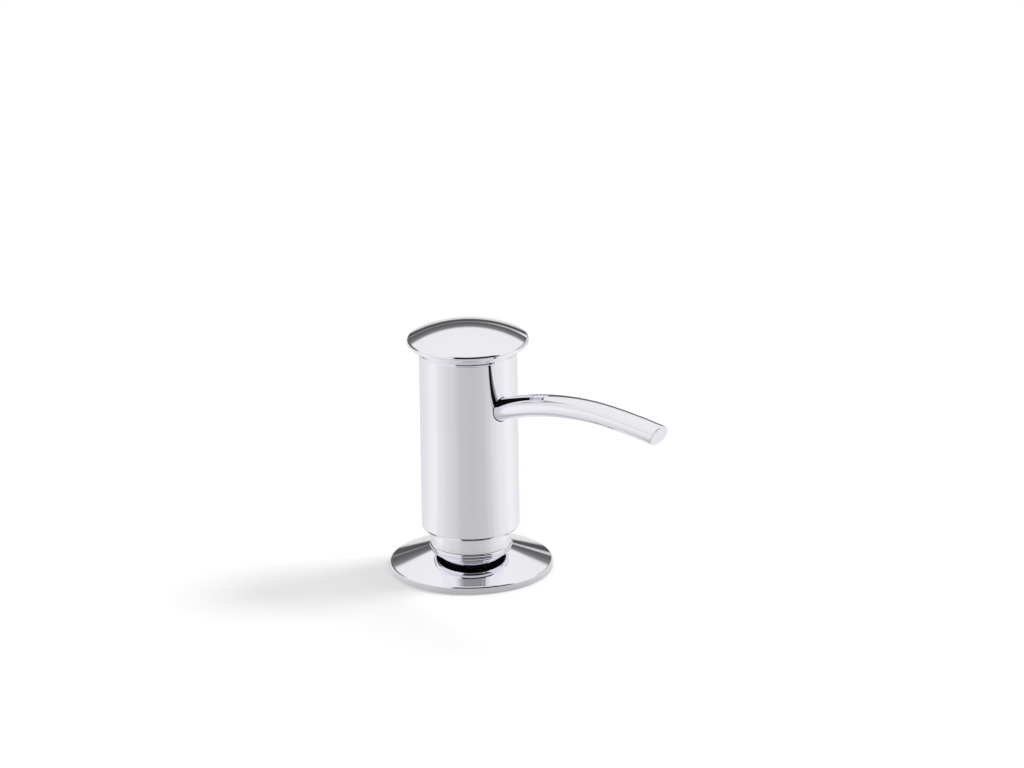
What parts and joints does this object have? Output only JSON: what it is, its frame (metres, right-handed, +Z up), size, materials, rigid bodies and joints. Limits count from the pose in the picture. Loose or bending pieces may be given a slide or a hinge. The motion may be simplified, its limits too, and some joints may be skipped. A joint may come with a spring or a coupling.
{
  "type": "soap pump dispenser",
  "caption": "Deck-mounted soap pump dispenser: domed push head with an arched spout over a fixed collar and flange, with its pump, shank, nut and bottle below the deck.",
  "frame": {"origin": "centre of the flange's underside, on the pump's axis, at the top of the deck", "axes": "+Z up along the pump's axis, +X towards the spout"},
  "size_m": [0.1276, 0.072, 0.295],
  "materials": {
    "chrome": "polished",
    "moulding": "moulded",
    "seal_rubber": "matte",
    "steel": "bright",
    "tubing": "milky",
    "shank_plastic": "moulded",
    "nut_plastic": "moulded",
    "bottle_plastic": "milky"
  },
  "bodies": {
    "base": {"flange": "chrome", "flange_gasket": "seal_rubber", "collar": "chrome", "closure": "moulding", "guide_bush": "moulding", "pump_chamber": "moulding", "chamber_gasket": "seal_rubber", "dip_tube": "tubing", "shank": "shank_plastic"},
    "plunger": {"stem": "moulding", "ball_cage": "moulding", "piston": "moulding", "piston_seal": "seal_rubber", "return_spring": "steel"},
    "head": {"cap": "chrome", "head_shell": "chrome", "spout": "chrome", "head_core": "moulding", "spout_seal": "seal_rubber", "stem_seal": "seal_rubber"},
    "inlet_valve": {"inlet_ball": "steel"},
    "outlet_valve": {"outlet_ball": "steel"},
    "nut": {"deck_washer": "seal_rubber", "mounting_nut": "nut_plastic"},
    "reservoir": {"bottle_gasket": "seal_rubber", "bottle": "bottle_plastic"}
  },
  "joints": [
    {"name": "press", "type": "slide", "parent": "base", "child": "plunger", "axis": [0, 0, -1], "range_m": [0, 0.0065], "stiffness_N_per_m": 500, "springref_m": -0.015, "deforming": ["return_spring"]},
    {"name": "swivel", "type": "hinge", "parent": "plunger", "child": "head", "pos_m": [0, 0, 0.05], "axis": [0, 0, 1], "continuous": true},
    {"name": "inlet_lift", "type": "slide", "parent": "base", "child": "inlet_valve", "axis": [0, 0, 1], "range_m": [0, 0.0012]},
    {"name": "outlet_lift", "type": "slide", "parent": "plunger", "child": "outlet_valve", "axis": [0, 0, 1], "range_m": [0, 0.0012]},
    {"name": "bottle_off", "type": "slide", "parent": "base", "child": "reservoir", "axis": [0, 0, -1], "range_m": [0, 0.12]},
    {"name": "nut_off", "type": "slide", "parent": "base", "child": "nut", "axis": [0, 0, -1], "range_m": [0, 0.12]}
  ],
  "couplings": [
    {"joint": "nut_off", "follows": "bottle_off", "ratio": 1}
  ]
}
